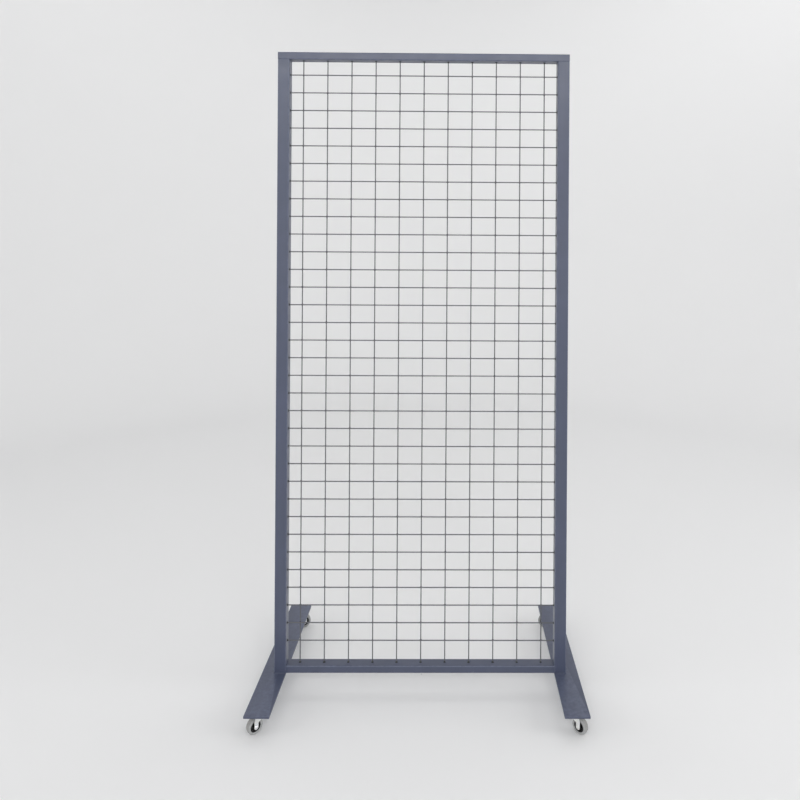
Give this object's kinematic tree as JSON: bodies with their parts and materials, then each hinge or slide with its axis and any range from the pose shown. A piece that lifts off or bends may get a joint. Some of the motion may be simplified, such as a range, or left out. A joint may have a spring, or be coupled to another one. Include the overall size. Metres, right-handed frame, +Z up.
{
  "type": "gridwall display stand",
  "caption": "Rolling shop display stand: a welded tube frame filled with wire mesh for hanging hooks, on two flat base legs with swivel casters.",
  "frame": {"origin": "on the floor, midway between the two legs and midway along them", "axes": "+X to the right seen from the front, +Y to the back, +Z up; the front faces -Y"},
  "size_m": [0.866, 0.5, 1.758],
  "materials": {
    "frame_paint": "satin slate-blue powder coat",
    "wire_paint": "grey powder-coated wire",
    "cap_plastic": "moulded plug, slate blue",
    "zinc_plate": "bright zinc-plated pressed steel",
    "ball_steel": "polished bearing steel",
    "hub_plastic": "black moulded plastic",
    "tyre_rubber": "soft grey thermoplastic rubber"
  },
  "bodies": {
    "stand": {"left_upright": "frame_paint", "right_upright": "frame_paint", "top_rail": "frame_paint", "bottom_rail": "frame_paint", "left_rail_cap": "cap_plastic", "right_rail_cap": "cap_plastic", "upright_mesh_wires": "wire_paint", "cross_mesh_wires": "wire_paint", "left_leg": "frame_paint", "right_leg": "frame_paint", "caster_studs": "zinc_plate", "caster_nuts": "zinc_plate", "front_left_plate": "zinc_plate", "front_left_balls": "ball_steel", "front_left_kingpin": "zinc_plate", "front_right_plate": "zinc_plate", "front_right_balls": "ball_steel", "front_right_kingpin": "zinc_plate", "rear_left_plate": "zinc_plate", "rear_left_balls": "ball_steel", "rear_left_kingpin": "zinc_plate", "rear_right_plate": "zinc_plate", "rear_right_balls": "ball_steel", "rear_right_kingpin": "zinc_plate"},
    "front_left_swivel": {"front_left_fork": "zinc_plate", "front_left_axle_bolt": "zinc_plate", "front_left_axle_nut": "zinc_plate", "front_left_bush": "zinc_plate"},
    "front_left_wheel": {"front_left_hub": "hub_plastic", "front_left_tyre": "tyre_rubber"},
    "front_right_swivel": {"front_right_fork": "zinc_plate", "front_right_axle_bolt": "zinc_plate", "front_right_axle_nut": "zinc_plate", "front_right_bush": "zinc_plate"},
    "front_right_wheel": {"front_right_hub": "hub_plastic", "front_right_tyre": "tyre_rubber"},
    "rear_left_swivel": {"rear_left_fork": "zinc_plate", "rear_left_axle_bolt": "zinc_plate", "rear_left_axle_nut": "zinc_plate", "rear_left_bush": "zinc_plate"},
    "rear_left_wheel": {"rear_left_hub": "hub_plastic", "rear_left_tyre": "tyre_rubber"},
    "rear_right_swivel": {"rear_right_fork": "zinc_plate", "rear_right_axle_bolt": "zinc_plate", "rear_right_axle_nut": "zinc_plate", "rear_right_bush": "zinc_plate"},
    "rear_right_wheel": {"rear_right_hub": "hub_plastic", "rear_right_tyre": "tyre_rubber"}
  },
  "joints": [
    {"name": "front_left_swivel_turn", "type": "hinge", "parent": "stand", "child": "front_left_swivel", "pos_m": [-0.4005, -0.215, 0.045], "axis": [0, 0, 1], "continuous": true},
    {"name": "front_left_wheel_roll", "type": "hinge", "parent": "front_left_swivel", "child": "front_left_wheel", "pos_m": [-0.41147, -0.22523, 0.02], "axis": [0.682, -0.7314, 0], "continuous": true},
    {"name": "front_right_swivel_turn", "type": "hinge", "parent": "stand", "child": "front_right_swivel", "pos_m": [0.4005, -0.215, 0.045], "axis": [0, 0, 1], "continuous": true},
    {"name": "front_right_wheel_roll", "type": "hinge", "parent": "front_right_swivel", "child": "front_right_wheel", "pos_m": [0.41147, -0.22523, 0.02], "axis": [-0.682, -0.7314, 0], "continuous": true},
    {"name": "rear_left_swivel_turn", "type": "hinge", "parent": "stand", "child": "rear_left_swivel", "pos_m": [-0.4005, 0.225, 0.045], "axis": [0, 0, 1], "continuous": true},
    {"name": "rear_left_wheel_roll", "type": "hinge", "parent": "rear_left_swivel", "child": "rear_left_wheel", "pos_m": [-0.3869, 0.23134, 0.02], "axis": [0.4226, -0.9063, 0], "continuous": true},
    {"name": "rear_right_swivel_turn", "type": "hinge", "parent": "stand", "child": "rear_right_swivel", "pos_m": [0.4005, 0.225, 0.045], "axis": [0, 0, 1], "continuous": true},
    {"name": "rear_right_wheel_roll", "type": "hinge", "parent": "rear_right_swivel", "child": "rear_right_wheel", "pos_m": [0.3869, 0.23134, 0.02], "axis": [-0.4226, -0.9063, 0], "continuous": true}
  ]
}
